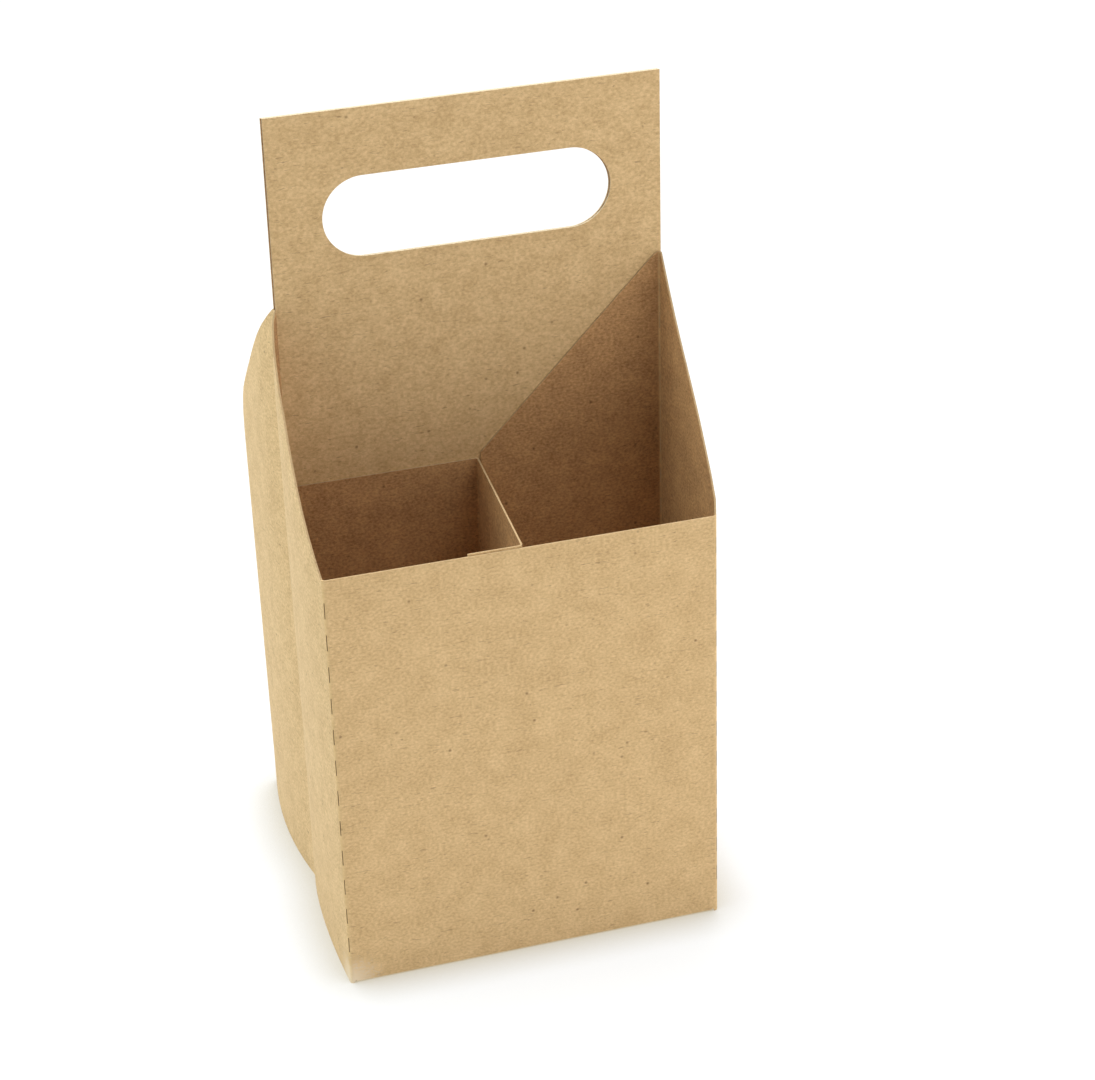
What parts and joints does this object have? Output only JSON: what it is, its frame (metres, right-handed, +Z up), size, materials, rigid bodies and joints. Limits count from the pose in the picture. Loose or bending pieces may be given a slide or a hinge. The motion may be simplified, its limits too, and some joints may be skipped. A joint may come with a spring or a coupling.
{
  "type": "bottle carrier",
  "caption": "Open basket carrier of folded kraft board with sloped end walls, cells for upright bottles and a raised middle handle panel with a round-ended hand slot.",
  "frame": {"origin": "middle of the base, on the surface that the carrier stands on", "axes": "+X to the right along the handle, +Y from the front panel to the rear panel, +Z up to the handle"},
  "size_m": [0.1296, 0.126, 0.2678],
  "materials": {
    "kraft_board": "plain uncoated solid kraft board, pale brown outside, darker brown inside, with fine dark fibres and light cut edges"
  },
  "bodies": {
    "root": {"carrier": "kraft_board"}
  },
  "joints": []
}
